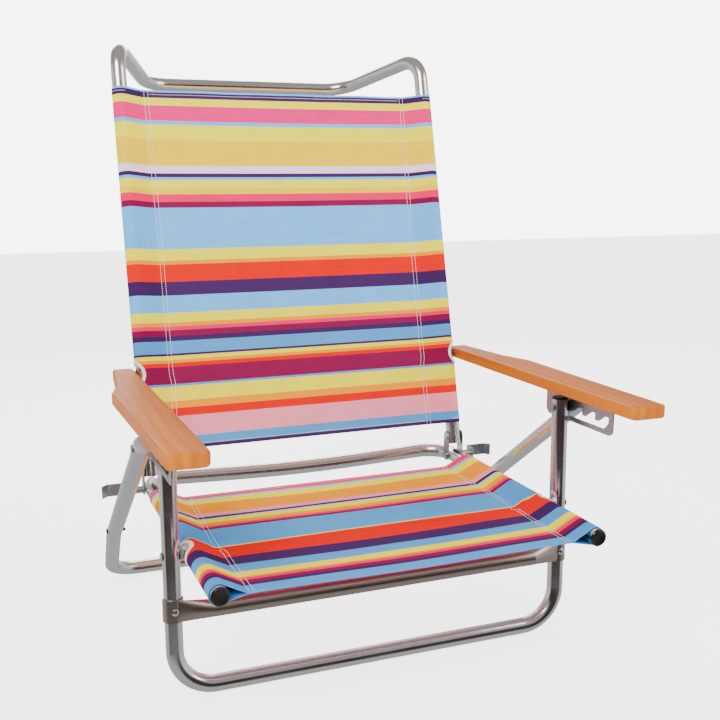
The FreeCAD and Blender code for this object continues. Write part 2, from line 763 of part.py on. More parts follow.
# ---------------------------------------------------------------- back frame
def back_frame():
    spread = number("seat_spread")
    tail = -number("back_tail")
    shoulder = number("back_shoulder")
    bar = number("back_bar_spread")
    setback = -number("back_bar_setback")
    across = number("2 * tube_radius")
    points = [
        (-spread, tail, 0),
        (-spread, shoulder, 0),
        (-bar, shoulder, setback),
        (bar, shoulder, setback),
        (spread, shoulder, 0),
        (spread, tail, 0),
    ]
    radii = [number(alias) for alias in ("shoulder_radius", "back_bar_radius", "back_bar_radius",
                                         "shoulder_radius")]
    clearance = number("running_gap")
    holes = [
        (0, number("rivet_radius") + clearance, spread - across, spread + across),
        (number("arm_pivot_rise"), number("bolt_radius") + clearance, spread, spread + across),
    ]
    bent_tube("back_frame", BACK, points, radii, holes)


# ---------------------------------------------------------------- slings
def sling(label, frame, start, end, cut_at):
    """A fabric panel with a sleeve round each tube, notched outside the tubes at the pivots."""
    body = new_body(label)
    length = f"({end} - ({start}))"
    back_of = f"-({end})"
    panel = new_sketch(body, label + "_panel", "XZ_Plane", back_of)
    draw_outline(panel, [
        ("-seat_spread", "-sling_drop - sling_thick / 2"),
        ("seat_spread", "-sling_drop - sling_thick / 2"),
        ("seat_spread", "-sling_drop + sling_thick / 2"),
        ("-seat_spread", "-sling_drop + sling_thick / 2"),
    ])
    add_pad(body, panel, length)
    for side_name, side in SIDES:
        sleeve = new_sketch(body, f"{label}_{side_name}_sleeve", "XZ_Plane", back_of)
        draw_circle(sleeve, (f"{side} * seat_spread", "0"), "tube_radius + sleeve_gap + sleeve_thick")
        add_pad(body, sleeve, length)
        bore = new_sketch(body, f"{label}_{side_name}_bore", "XZ_Plane", back_of)
        draw_circle(bore, (f"{side} * seat_spread", "0"), "tube_radius + sleeve_gap")
        add_pocket(body, bore, length, reverse=True)
    for side_name, side in SIDES:
        face = f"{side} * (seat_spread + pivot_cut_inset)"
        notch = new_sketch(body, f"{label}_{side_name}_notch", "YZ_Plane", face)
        draw_circle(notch, (cut_at, "0"), "pivot_cut_radius")
        add_pocket(body, notch, "2 * tube_radius", reverse=side > 0)
    place(body, frame)


# ---------------------------------------------------------------- arms
BOARD_UNDERSIDE = "(-arm_thick / 2)"


def depth(formula):
    """A height measured down from the underside of the board."""
    return f"({BOARD_UNDERSIDE} - ({formula}))"


def screw_places():
    return ["-(plate_rear + screw_inset)", "-(plate_rear + plate_front) / 2", "-(plate_front - screw_inset)"]


def arm_board(side_name, side):
    body = new_body(f"{side_name}_arm_board")
    outline = new_sketch(body, body.Label + "_outline", "XY_Plane")
    corners = [
        ("arm_inner", "arm_rear_end"),
        ("arm_inner", "arm_front_chamfer_y - arm_front_end"),
        ("arm_inner + arm_front_chamfer_x", "-arm_front_end"),
        ("arm_front_wide", "-arm_front_end"),
        ("arm_wide", "-arm_shoulder_reach"),
        ("arm_neck_front", "-arm_neck_reach"),
        ("arm_neck_rear", "arm_rear_end"),
    ]
    draw_outline(outline, [(f"{side} * ({x})", y) for x, y in corners])
    add_pad(body, outline, "arm_thick", midplane=True)

    def upright(edge):
        return abs(edge.BoundBox.ZLength - number("arm_thick")) < CLOSE

    def at_shoulder(edge):
        reach = -edge.BoundBox.Center.y
        near = number("arm_neck_reach") - CLOSE < reach < number("arm_shoulder_reach") + CLOSE
        return upright(edge) and near

    add_fillet(body, "arm_shoulder_radius", at_shoulder)

    def at_corner(edge):
        reach = -edge.BoundBox.Center.y
        at_end = reach < number("arm_neck_reach / 2") or reach > number("arm_front_end / 2")
        return upright(edge) and at_end

    add_fillet(body, "arm_corner_radius", at_corner)

    def at_rim(edge):
        return edge.BoundBox.ZLength < CLOSE

    add_fillet(body, "arm_edge_radius", at_rim)

    pivot = new_sketch(body, body.Label + "_pivot", "YZ_Plane")
    draw_circle(pivot, ("0", "0"), "bolt_radius + running_gap")
    add_pocket(body, pivot, "2 * arm_wide", midplane=True)
    recess = new_sketch(body, body.Label + "_recess", "YZ_Plane",
                        f"{side} * (arm_neck_rear - bolt_recess_depth)")
    draw_circle(recess, ("0", "0"), "bolt_head_radius + 3 * touch_gap")
    add_pocket(body, recess, "arm_wide - arm_neck_rear", reverse=side > 0)
    screws = new_sketch(body, body.Label + "_screw_holes", "XY_Plane", BOARD_UNDERSIDE)
    for y in screw_places():
        draw_circle(screws, (f"{side} * (plate_inner - flange_width / 2)", y), "screw_radius")
    add_pocket(body, screws, "screw_length", reverse=True)
    place(body, ARM)


def slot_outline():
    """The slot as (y, z) corners: a flat floor, and notches that rise from a row of teeth."""
    tips = depth("slot_top_depth")
    floor = depth("slot_floor_depth")
    peaks = depth("slot_top_depth - notch_depth")
    run = "(notch_depth / tan(notch_slope))"
    corners = [("-slot_front + slot_corner", floor), ("-slot_rear", floor)]
    first = "(-first_notch)"
    rear_drop = f"(-slot_rear - {first} - notch_half_width) * tan(notch_slope)"
    corners.append(("-slot_rear", f"({peaks} - {rear_drop})"))
    for index in range(5):
        middle = f"({first} - {index} * notch_pitch)"
        if index > 0:
            corners.append((f"({middle} + notch_half_width + {run})", tips))
        corners.append((f"({middle} + notch_half_width)", peaks))
        corners.append((f"({middle} - notch_half_width)", peaks))
        if index < 4:
            corners.append((f"({middle} - notch_half_width)", tips))
    corners.append(("-slot_front", peaks))
    corners.append(("-slot_front", f"({floor} + slot_corner)"))
    return corners


def notch_plate(side_name, side):
    """The slotted steel plate under the arm, with a screwed flange."""
    body = new_body(f"{side_name}_notch_plate")
    face = f"{side} * plate_inner"
    outline = new_sketch(body, body.Label + "_outline", "YZ_Plane", face)
    bottom = depth("plate_depth")
    draw_outline(outline, [("-plate_front", bottom), ("-plate_rear", bottom),
                           ("-plate_rear", BOARD_UNDERSIDE), ("-plate_front", BOARD_UNDERSIDE)])
    add_pad(body, outline, "plate_thick", reverse=side < 0)

    def lower_corner(edge):
        box = edge.BoundBox
        return box.XLength > CLOSE and box.YLength < CLOSE and box.ZMax < number(bottom) + CLOSE

    add_fillet(body, "plate_corner_radius", lower_corner)
    flange = new_sketch(body, body.Label + "_flange", "YZ_Plane", face)
    flange_bottom = depth("plate_thick")
    draw_outline(flange, [("-plate_front", flange_bottom), ("-plate_rear", flange_bottom),
                          ("-plate_rear", BOARD_UNDERSIDE), ("-plate_front", BOARD_UNDERSIDE)])
    add_pad(body, flange, "flange_width", reverse=side > 0)
    slot = new_sketch(body, body.Label + "_slot", "YZ_Plane", face)
    draw_outline(slot, slot_outline())
    add_pocket(body, slot, "4 * plate_thick", midplane=True)
    holes = new_sketch(body, body.Label + "_screw_holes", "XY_Plane", flange_bottom)
    for y in screw_places():
        draw_circle(holes, (f"{side} * (plate_inner - flange_width / 2)", y), "screw_head_radius")
    add_pocket(body, holes, "plate_thick", reverse=True)
    place(body, ARM)


def plate_screws(side_name, side):
    """Three flush screws that hold the flange against the board."""
    profile = [(depth("plate_thick"), "0"), (depth("plate_thick"), "screw_head_radius"),
               (BOARD_UNDERSIDE, "screw_head_radius"), (BOARD_UNDERSIDE, "screw_radius"),
               (f"({BOARD_UNDERSIDE} + screw_length - screw_point)", "screw_radius"),
               (f"({BOARD_UNDERSIDE} + screw_length)", "0")]
    pieces = []
    for index, along in enumerate(screw_places()):
        piece = turned(f"{side_name}_plate_screw_{index + 1}", profile, axis="Z", subpart=False)
        place(piece, ARM, x=f"{side} * (plate_inner - flange_width / 2)", along=along)
        pieces.append(piece)
    group(f"{side_name}_plate_screws", pieces)


def arm_pivot_bolts():
    """Bolts from a recess in the arm's outer edge, through the board, into the back tube."""
    tail = tail_in_bore("(seat_spread + tube_radius - tube_wall)")
    collar_start = "(seat_spread + tube_radius + 2 * touch_gap)"
    collar_end = "(arm_inner - 2 * touch_gap)"
    head_base = "(arm_neck_rear - bolt_recess_depth)"
    shank = shaft_profile(tail, (tail[1], collar_start, "bolt_radius"),
                          (collar_start, collar_end, "pivot_spacer_radius"),
                          (collar_end, head_base, "bolt_radius"))
    profile = head_profile(shank[:-1], head_base, "bolt_recess_depth", "bolt_head_radius")
    cross_pair("arm_pivot_bolts", profile, ARM)


# ---------------------------------------------------------------- assembly
seat_frame()
sling("seat_sling", SEAT, "-seat_sling_front", "seat_sling_rear", "0")
seat_front_plugs()
seat_pivots()
hinge_plates()
saddle_bolts()
saddles()
front_leg_frame()
leg_caps("front_leg_caps", FRONT_LEG, "front_spread", "front_leg_length")
front_brace()
brace_rivets()
apex_bolts()
rear_leg_frame()
leg_caps("rear_leg_caps", REAR_LEG, "rear_spread", "rear_leg_length")
rear_leg_fasteners()
back_hinge_rivets()
back_frame()
sling("back_sling", BACK, "back_sling_start", "back_sling_end", "arm_pivot_rise")
arm_pivot_bolts()
for side_name, side in SIDES:
    arm_board(side_name, side)
    notch_plate(side_name, side)
    plate_screws(side_name, side)
doc.recompute()

# ---------------------------------------------------------------- checks and export
for item in doc.Objects:
    if "Invalid" in item.State or "Error" in item.State:
        raise RuntimeError(f"{item.Label}: {item.State}")
for node in SUBPARTS:
    if node.Shape.isNull() or not node.Shape.isValid():
        raise RuntimeError(f"{node.Label}: its shape is not valid")

os.makedirs("parts", exist_ok=True)
for node in SUBPARTS:
    node.Shape.exportStep(f"parts/{node.Label}.step")
    box = node.Shape.BoundBox
    print(f"{node.Label}: {len(node.Shape.Solids)} solids, {node.Shape.Volume:.0f} mm3,",
          f"x {box.XMin:.1f}..{box.XMax:.1f}, y {box.YMin:.1f}..{box.YMax:.1f}, z {box.ZMin:.1f}..{box.ZMax:.1f}")
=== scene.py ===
import json
import math

import bmesh
import bpy
from mathutils import Euler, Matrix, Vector


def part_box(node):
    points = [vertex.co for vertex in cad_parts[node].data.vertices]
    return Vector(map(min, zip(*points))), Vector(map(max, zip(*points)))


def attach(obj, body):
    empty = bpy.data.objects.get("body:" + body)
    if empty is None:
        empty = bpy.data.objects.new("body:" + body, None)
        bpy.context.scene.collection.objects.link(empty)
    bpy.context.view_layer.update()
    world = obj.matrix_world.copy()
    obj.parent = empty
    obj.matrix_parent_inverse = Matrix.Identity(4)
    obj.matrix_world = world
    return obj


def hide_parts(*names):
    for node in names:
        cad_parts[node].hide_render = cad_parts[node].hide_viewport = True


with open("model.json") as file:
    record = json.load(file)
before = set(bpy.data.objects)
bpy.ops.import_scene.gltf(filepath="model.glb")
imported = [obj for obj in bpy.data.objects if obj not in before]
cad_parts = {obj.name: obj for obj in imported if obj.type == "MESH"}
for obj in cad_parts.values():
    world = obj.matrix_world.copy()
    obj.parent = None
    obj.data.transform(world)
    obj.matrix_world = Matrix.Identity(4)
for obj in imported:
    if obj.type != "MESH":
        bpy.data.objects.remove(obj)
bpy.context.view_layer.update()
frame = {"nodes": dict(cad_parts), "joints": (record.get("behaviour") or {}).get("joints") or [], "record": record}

# The looks of a folding beach chair: striped slings with sewn sleeves, hems, stitches and bound
# cut-outs, varnished wooden arms, and polished aluminium tubes. Metres, in the shared frame:
# -Y is the front, +Z is up, and +X is the sitter's left.

JOINTS = {joint["name"]: joint for joint in frame["joints"]}
NODES = frame["nodes"]
MOUNTS = {mount["name"]: mount for mount in frame["record"]["mounts"]}
TUBE_RADIUS = MOUNTS["carrying_bar"]["dims"]["r_mm"] / 1000


# ---------------------------------------------------------------- small helpers
def colour(red, green, blue):
    """An sRGB colour of 0 to 255 as linear RGBA."""
    def linear(value):
        part = value / 255
        return part / 12.92 if part <= 0.04045 else ((part + 0.055) / 1.055) ** 2.4
    return (linear(red), linear(green), linear(blue), 1.0)


def smooth(value, low, high):
    """0 at low, 1 at high, smooth between and level beyond (low may be the larger)."""
    t = min(1.0, max(0.0, (value - low) / (high - low)))
    return t * t * (3 - 2 * t)


def swell(distance, width):
    """1 at no distance, fading to 0 on both sides."""
    return math.exp(-(distance / width) ** 2)


def middle(node):
    low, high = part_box(node)
    return (low + high) / 2


# ---------------------------------------------------------------- side-view frames
class SideFrame:
    """x across the chair, v along a pair of tubes, s square to them (up, or to the front)."""

    def __init__(self, origin, towards):
        self.origin = Vector((0, origin[1], origin[2]))
        step = Vector((0, towards[1] - origin[1], towards[2] - origin[2]))
        self.along = step.normalized()
        self.square = Vector((0, -self.along.z, self.along.y))

    def at(self, x, v, s):
        return self.origin + self.along * v + self.square * s + Vector((x, 0, 0))

    def reach(self, node):
        """The first and last v of a CAD node."""
        places = [(vertex.co - self.origin).dot(self.along) for vertex in NODES[node].data.vertices]
        return min(places), max(places)


SEAT = SideFrame(JOINTS["fold"]["pos_m"], middle("saddle_bolts"))
BACK = SideFrame(JOINTS["back_turn"]["pos_m"], JOINTS["left_arm_turn"]["pos_m"])
ARM_BOLT = (Vector(JOINTS["left_arm_turn"]["pos_m"]) - BACK.origin).dot(BACK.along)
LEG_PIVOT = 0.0  # the seat's v starts at the bolts of the front legs


# ---------------------------------------------------------------- material helpers
def new_material(name):
    material = bpy.data.materials.new(name)
    material.use_nodes = True
    tree = material.node_tree
    shader = tree.nodes["Principled BSDF"]
    return material, tree, shader


def set_input(tree, socket, value):
    """Links a socket to another node's output, or gives it a plain value."""
    if isinstance(value, bpy.types.NodeSocket):
        tree.links.new(value, socket)
    else:
        socket.default_value = value


def add_node(tree, kind, **inputs):
    """A shader node with some of its inputs set or linked, by name or as _0, _1 and so on."""
    node = tree.nodes.new(kind)
    for name, value in inputs.items():
        key = int(name[1:]) if name.startswith("_") else name.replace("_", " ")
        set_input(tree, node.inputs[key], value)
    return node


def math_node(tree, operation, first, second=0.0):
    node = add_node(tree, "ShaderNodeMath", _0=first, _1=second)
    node.operation = operation
    return node.outputs[0]


def mix_colour(tree, factor, first, second, blend="MIX"):
    node = tree.nodes.new("ShaderNodeMix")
    node.data_type = "RGBA"
    node.blend_type = blend
    factor_input, first_input, second_input = node.inputs[0], node.inputs[6], node.inputs[7]
    set_input(tree, factor_input, factor)
    set_input(tree, first_input, first)
    set_input(tree, second_input, second)
    return node.outputs[2]


def span_node(tree, value, low, high, to_low=0.0, to_high=1.0):
    """A value between low and high, moved to lie between to_low and to_high."""
    node = add_node(tree, "ShaderNodeMapRange", _0=value, _1=low, _2=high, _3=to_low, _4=to_high)
    return node.outputs[0]


def noise_span(tree, noise, to_low=0.0, to_high=1.0):
    """The middle of a noise's range, where nearly all of it lies, moved to another range."""
    return span_node(tree, noise, 0.3, 0.7, to_low, to_high)


def noise_node(tree, vector, scale, detail):
    node = add_node(tree, "ShaderNodeTexNoise", Vector=vector, Scale=scale, Detail=detail,
                    Roughness=0.55)
    return node.outputs[0]


def object_place(tree, scale=(1, 1, 1)):
    """Object coordinates, scaled along each axis."""
    coordinates = tree.nodes.new("ShaderNodeTexCoord")
    mapping = add_node(tree, "ShaderNodeMapping", Vector=coordinates.outputs["Object"],
                       Scale=scale)
    return mapping.outputs[0]


def bump_node(tree, height, distance, strength, below=None):
    """A bump normal, on top of another one if it is given."""
    node = add_node(tree, "ShaderNodeBump", Height=height, Distance=distance, Strength=strength)
    if below is not None:
        tree.links.new(below, node.inputs["Normal"])
    return node.outputs[0]


# ---------------------------------------------------------------- striped fabric
YELLOW = colour(255, 240, 0)
ORANGE = colour(255, 212, 0)
DEEP_ORANGE = colour(255, 158, 0)
PINK = colour(252, 34, 126)
HOT_PINK = colour(250, 18, 96)
PALE_PINK = colour(255, 226, 243)
ROSE = colour(255, 150, 170)
SKY = colour(108, 188, 252)
BLUE = colour(84, 158, 222)
PURPLE = colour(72, 40, 92)
MAGENTA = colour(138, 26, 76)
RED = colour(238, 10, 0)

# Each stripe is (colour, width in millimetres), from the top edge of the back down.
BACK_STRIPES = [
    (SKY, 1.5), (PURPLE, 9.5), (YELLOW, 11), (PINK, 23.5), (SKY, 6.5), (YELLOW, 22.5),
    (ORANGE, 40), (PALE_PINK, 11.5), (PURPLE, 6), (SKY, 4), (YELLOW, 13.5), (ORANGE, 8.5),
    (HOT_PINK, 12), (MAGENTA, 8), (SKY, 63.5), (YELLOW, 17), (DEEP_ORANGE, 6), (RED, 25.5),
    (PURPLE, 20), (SKY, 26.5), (YELLOW, 15.5), (DEEP_ORANGE, 5), (HOT_PINK, 5.5), (MAGENTA, 10),
    (PURPLE, 7), (BLUE, 19), (PURPLE, 3), (YELLOW, 6), (DEEP_ORANGE, 4.5), (RED, 6.5),
    (MAGENTA, 25), (BLUE, 3.5), (YELLOW, 22), (DEEP_ORANGE, 11), (RED, 11.5), (ROSE, 31),
    (BLUE, 13), (PURPLE, 8),
]
# From the rear edge of the seat forwards.
SEAT_STRIPES = [
    (HOT_PINK, 14), (SKY, 8), (YELLOW, 20.5), (DEEP_ORANGE, 38.5), (ROSE, 13), (PURPLE, 6.5),
    (SKY, 3.5), (YELLOW, 14.5), (DEEP_ORANGE, 11.5), (HOT_PINK, 7), (MAGENTA, 7), (BLUE, 60),
    (YELLOW, 1.5), (RED, 41.5), (PURPLE, 23.5), (BLUE, 23), (YELLOW, 15), (DEEP_ORANGE, 4.5),
    (HOT_PINK, 6), (MAGENTA, 8.5), (PURPLE, 7.5), (BLUE, 20),
]
RAMP_LIMIT = 24  # stripes that one colour ramp carries
WEFT_PITCH = 0.0011
WARP_PITCH = 0.0009
YARN_LENGTHWISE = 18.0  # noise cells in a metre along a yarn
YARN_CROSSWISE = 1500.0  # and across the yarns
BLOTCH_RANGE = (0.95, 1.04)


def stripe_colour(tree, place, stripes):
    """The colour at a distance, in metres, from the first edge of a list of stripes."""
    result = None
    start = 0.0
    for first in range(0, len(stripes), RAMP_LIMIT):
        chunk = stripes[first:first + RAMP_LIMIT]
        length = sum(width for _, width in chunk) / 1000
        ramp = tree.nodes.new("ShaderNodeValToRGB")
        ramp.color_ramp.interpolation = "CONSTANT"
        tree.links.new(span_node(tree, place, start, start + length), ramp.inputs[0])
        elements = ramp.color_ramp.elements
        elements.remove(elements[1])
        elements[0].position = 0.0
        elements[0].color = chunk[0][0]
        edge = chunk[0][1] / 1000
        for shade, width in chunk[1:]:
            elements.new(edge / length).color = shade
            edge += width / 1000
        if result is None:
            result = ramp.outputs[0]
        else:
            past = math_node(tree, "GREATER_THAN", place, start)
            result = mix_colour(tree, past, result, ramp.outputs[0])
        start += length
    return result


def sling_material(name, stripes):
    """Woven stripes: U is the distance across the cloth, V the distance along it, in metres."""
    material, tree, shader = new_material(name)
    layout = add_node(tree, "ShaderNodeUVMap")
    layout.uv_map = "cloth"
    split = add_node(tree, "ShaderNodeSeparateXYZ", Vector=layout.outputs[0])
    across, along = split.outputs[0], split.outputs[1]
    shade = stripe_colour(tree, along, stripes)

    # painted shade: outside the seams, where the cloth curves round the tubes into sleeves, the colours are
    # deepened
    off_middle = math_node(tree, "ABSOLUTE", across)
    sleeve_shade_mask = span_node(tree, off_middle, SEAM_INNER, SEAM_INNER + 0.002)
    painted_sleeve_shade = add_node(tree, "ShaderNodeGamma", Color=shade, Gamma=1.08)
    shade = mix_colour(tree, sleeve_shade_mask, shade, painted_sleeve_shade.outputs[0])

    # yarns: fine threads across the cloth, a little uneven in tone, and wider pale blotches
    yarn_place = add_node(tree, "ShaderNodeCombineXYZ",
                          X=math_node(tree, "MULTIPLY", across, YARN_LENGTHWISE),
                          Y=math_node(tree, "MULTIPLY", along, YARN_CROSSWISE))
    yarn = noise_node(tree, yarn_place.outputs[0], 1.0, 2.0)
    blotch_place = add_node(tree, "ShaderNodeCombineXYZ", X=across, Y=along)
    blotch_noise = noise_node(tree, blotch_place.outputs[0], 22.0, 4.0)
    blotch = noise_span(tree, blotch_noise, *BLOTCH_RANGE)
    tone = math_node(tree, "MULTIPLY", noise_span(tree, yarn, 0.9, 1.06), blotch)
    grey = add_node(tree, "ShaderNodeCombineXYZ", X=tone, Y=tone, Z=tone)
    shade = mix_colour(tree, 1.0, shade, grey.outputs[0], "MULTIPLY")
    tree.links.new(shade, shader.inputs["Base Color"])

    weft = math_node(tree, "SINE", math_node(tree, "MULTIPLY", along, 2 * math.pi / WEFT_PITCH))
    warp = math_node(tree, "SINE", math_node(tree, "MULTIPLY", across, 2 * math.pi / WARP_PITCH))
    weave = math_node(tree, "ADD", math_node(tree, "MULTIPLY", weft, warp), yarn)
    tree.links.new(bump_node(tree, weave, 0.00012, 0.5), shader.inputs["Normal"])
    tree.links.new(span_node(tree, blotch, *BLOTCH_RANGE, 0.72, 0.86), shader.inputs["Roughness"])
    shader.inputs["Specular IOR Level"].default_value = 0.04
    return material


def thread_material(name, shade):
    """Twisted sewing thread or binding tape."""
    material, tree, shader = new_material(name)
    twist = noise_node(tree, object_place(tree), 1400.0, 2.0)
    # painted shade: noise darkens the thread in patches, standing for shade in the grooves of the twist
    shadow = tuple(0.86 * part for part in shade[:3]) + (1.0,)
    thread_with_painted_shade = mix_colour(tree, span_node(tree, twist, 0.35, 0.65), shade, shadow)
    tree.links.new(thread_with_painted_shade, shader.inputs["Base Color"])
    tree.links.new(bump_node(tree, twist, 0.0002, 0.6), shader.inputs["Normal"])
    tree.links.new(noise_span(tree, twist, 0.6, 0.8), shader.inputs["Roughness"])
    return material


THREAD = thread_material("white_thread", colour(250, 242, 238))
BINDING = thread_material("white_binding", colour(252, 240, 234))


# ---------------------------------------------------------------- mesh helpers
def add_piece(name, bm, material):
    """Turns a bmesh into an object in the scene."""
    mesh = bpy.data.meshes.new(name)
    bm.to_mesh(mesh)
    bm.free()
    mesh.materials.append(material)
    piece = bpy.data.objects.new(name, mesh)
    bpy.context.scene.collection.objects.link(piece)
    return piece


def thicken(piece):
    """Gives a single layer of cloth its thickness, half to each side."""
    modifier = piece.modifiers.new("thickness", "SOLIDIFY")
    modifier.thickness = CLOTH
    modifier.offset = 0.0
    graph = bpy.context.evaluated_depsgraph_get()
    mesh = bpy.data.meshes.new_from_object(piece.evaluated_get(graph))
    mesh.name = piece.name
    piece.modifiers.clear()
    piece.data = mesh


def skin(bm, rings):
    """Smooth faces between each ring of vertices and the next."""
    for low, high in zip(rings, rings[1:]):
        for corner in range(len(low)):
            after = (corner + 1) % len(low)
            bm.faces.new((low[corner], low[after], high[after], high[corner])).smooth = True


def quad(bm, ring):
    """A smooth face over a ring of (vertex, ...) entries."""
    face = bm.faces.new([entry[0] for entry in ring])
    face.smooth = True
    return face


# ---------------------------------------------------------------- sling geometry
CLOTH = 0.0008
SLEEVE_GAP = 0.0005  # between a tube and its sleeve
SLEEVE_RADIUS = TUBE_RADIUS + SLEEVE_GAP + CLOTH / 2
SLEEVE_STOCK = 0.0126  # from a tube's axis to the outer side of the CAD sling
PANEL_DROP = 0.004  # from the plane of the tubes' axes to the panel
SEAM_INNER = 0.2045  # from the chair's middle plane to the inner edge of a seam, before its shift
SEAM_WIDTH = 0.0102
TAIL = 0.0035  # how far the raw edge reaches inwards past a seam
UNDER_LAYER = 1.15  # the tail's depth below the panel, in thicknesses of cloth
CUT_RADIUS = 0.0165
HEM = 0.0065
ROW_INSET = 0.0022  # from a seam's inner edge to its first row of stitches
ROW_GAP = 0.0058

PANEL_STEPS, SLANT_STEPS, ARC_STEPS = 44, 8, 26
FINE_ROW, COARSE_ROW = 0.0016, 0.004  # between rows of the mesh, near a cut-out or hem and away


class Sling:
    """One cloth that crosses between two tubes, wraps each of them and is sewn back to itself.

    A place on it is (x, v, s) in its side frame. Its own distance across the cloth runs from the
    middle of the panel outwards and round the tube to the raw edge, negative on the -X side.
    """

    def __init__(self, name, node, side_frame, cut_at, stripes, seam_shift, relief,
                 first_hem_faces, stripe_slip=None):
        self.name = name
        self.node = node
        self.frame = side_frame
        self.cut_at = cut_at
        self.stripes = stripes
        self.seam_shift = seam_shift
        self.relief = relief
        self.first_hem_faces = first_hem_faces
        self.stripe_slip = stripe_slip
        self.tube_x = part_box(node)[1].x - SLEEVE_STOCK
        self.start, self.end = side_frame.reach(node)

    def corners(self, v):
        """The seam's inner and outer edges, and the tangent angles on the tube, at v."""
        inner = SEAM_INNER - self.seam_shift(v)
        outer = inner + SEAM_WIDTH
        span = Vector((outer - self.tube_x, -PANEL_DROP))
        lean = math.atan2(span.y, span.x) + 2 * math.pi
        opening = math.acos(SLEEVE_RADIUS / span.length)
        return inner, outer, lean - opening, lean + opening - 2 * math.pi

    def on_tube(self, angle, radius=SLEEVE_RADIUS):
        """x and s of a point round the tube on the +X side."""
        return self.tube_x + radius * math.cos(angle), radius * math.sin(angle)

    def section(self, v):
        """(x, s, kind, arc offset) down the cloth on the +X side, from the middle to the edge."""
        inner, outer, front_angle, back_angle = self.corners(v)
        seam_middle = outer - SEAM_WIDTH / 2
        under = -PANEL_DROP - CLOTH * UNDER_LAYER
        points = []

        def slant(start, end, steps):
            for step in steps:
                part = step / SLANT_STEPS
                x = start[0] + (end[0] - start[0]) * part
                s = start[1] + (end[1] - start[1]) * part
                points.append((x, s, "slant", None))

        for step in range(PANEL_STEPS + 1):
            points.append((inner * step / PANEL_STEPS, -PANEL_DROP, "panel", None))
        points.append((seam_middle, -PANEL_DROP, "seam", None))
        slant((outer, -PANEL_DROP), self.on_tube(front_angle), range(SLANT_STEPS))
        for step in range(ARC_STEPS + 1):
            angle = front_angle + (back_angle - front_angle) * step / ARC_STEPS
            points.append((*self.on_tube(angle), "arc", SLEEVE_RADIUS * angle))
        slant(self.on_tube(back_angle), (outer, under), range(1, SLANT_STEPS + 1))
        points.append((seam_middle, under, "seam", None))
        points.append((inner - TAIL / 2, under, "tail", None))
        points.append((inner - TAIL, under, "tail", None))
        return points

    def stations(self):
        """The v of each row of the mesh: closer together at the cut-outs and the hems."""
        rows = [self.start]
        while rows[-1] < self.end:
            near_cut = abs(rows[-1] - self.cut_at) < CUT_RADIUS + 0.01
            near_end = min(rows[-1] - self.start, self.end - rows[-1]) < HEM + 0.002
            rows.append(rows[-1] + (FINE_ROW if near_cut or near_end else COARSE_ROW))
        rows[-1] = self.end
        return rows

    def lift(self, x, s, v, kind):
        """Adds the folds and pull lines, square to the cloth; they fade on the way to the tube."""
        if kind in ("panel", "seam", "tail"):
            s += self.relief(x, v)
        elif kind == "slant":
            part = (abs(x) - SEAM_INNER) / (self.tube_x - SEAM_INNER)
            s += self.relief(x, v) * max(0.0, 1 - part * 2)
        return s

    def mesh_row(self, bm, across, v):
        """One row of vertices from edge to edge, as (vertex, in the cut-out, v) entries.

        The vertices that fall in a cut-out move out to its rim.
        """
        half = self.section(v)
        runs = [0.0]
        for before, after in zip(half, half[1:]):
            runs.append(runs[-1] + math.dist(before[:2], after[:2]))
        self.flat_width = 2 * runs[-1]
        row = []
        for side in (-1, 1):
            order = range(len(half) - 1, -1, -1) if side < 0 else range(1, len(half))
            for index in order:
                x, s, kind, offset = half[index]
                place_v = v
                reach = CUT_RADIUS if offset is None else math.hypot(offset, v - self.cut_at)
                inside = reach < CUT_RADIUS
                if inside:
                    grow = CUT_RADIUS / max(reach, 1e-5)
                    place_v = self.cut_at + (v - self.cut_at) * grow
                    x, s = self.on_tube(offset * grow / SLEEVE_RADIUS)
                x *= side
                s = self.lift(x, s, place_v, kind)
                vertex = bm.verts.new(self.frame.at(x, place_v, s))
                vertex[across] = runs[index] * side
                row.append((vertex, inside, place_v))
        return row

    def build(self, material):
        bm = bmesh.new()
        across = bm.verts.layers.float.new("across")
        grid = [self.mesh_row(bm, across, v) for v in self.stations()]
        uv = bm.loops.layers.uv.new("cloth")
        for low, high in zip(grid, grid[1:]):
            for left in range(len(low) - 1):
                ring = [low[left], low[left + 1], high[left + 1], high[left]]
                if all(inside for _, inside, _ in ring):
                    continue
                face = quad(bm, ring)
                for loop, (vertex, _, v) in zip(face.loops, ring):
                    loop[uv].uv = (vertex[across], self.texture_v(vertex[across], v))
        loose = [vertex for vertex in bm.verts if not vertex.link_faces]
        bmesh.ops.delete(bm, geom=loose, context="VERTS")
        bmesh.ops.recalc_face_normals(bm, faces=bm.faces)
        piece = add_piece(self.name, bm, material)
        thicken(piece)
        return piece

    def texture_v(self, across, v):
        """How far down the stripes a point lies; the stripes start at the cloth's last row."""
        place = self.end - v
        return place - self.stripe_slip(across, place) if self.stripe_slip else place

    def surface(self, side, x, v, face):
        """A point on the panel or the seam, on its upper (face 1) or lower (face -1) side."""
        s = -PANEL_DROP + self.relief(x, v)
        if face > 0:
            s += CLOTH / 2
        elif x < SEAM_INNER - TAIL:
            s -= CLOTH * 0.5
        else:
            s -= CLOTH * (UNDER_LAYER + 0.5)
        return self.frame.at(side * x, v, s)

    def sleeve_line(self, side, v):
        """Points over the outside of one sleeve at v, from slant to slant."""
        grow = 1 + CLOTH / 2 / SLEEVE_RADIUS
        points = []
        for x, s, kind, _ in self.section(v):
            if kind == "arc":
                point = Vector((self.tube_x + (x - self.tube_x) * grow, s * grow))
                points.append(self.frame.at(side * point.x, v, point.y))
        return points


# ---------------------------------------------------------------- stitches
STITCH_PITCH = 0.0034
STITCH_RADIUS = 0.00045
STITCH_GAP = 0.12  # the part of a pitch left bare at each end of a stitch
STITCH_SHAPE = ((0.0, 0.35), (0.2, 0.9), (0.5, 1.05), (0.8, 0.9), (1.0, 0.35))
STITCH_CORNERS = 6


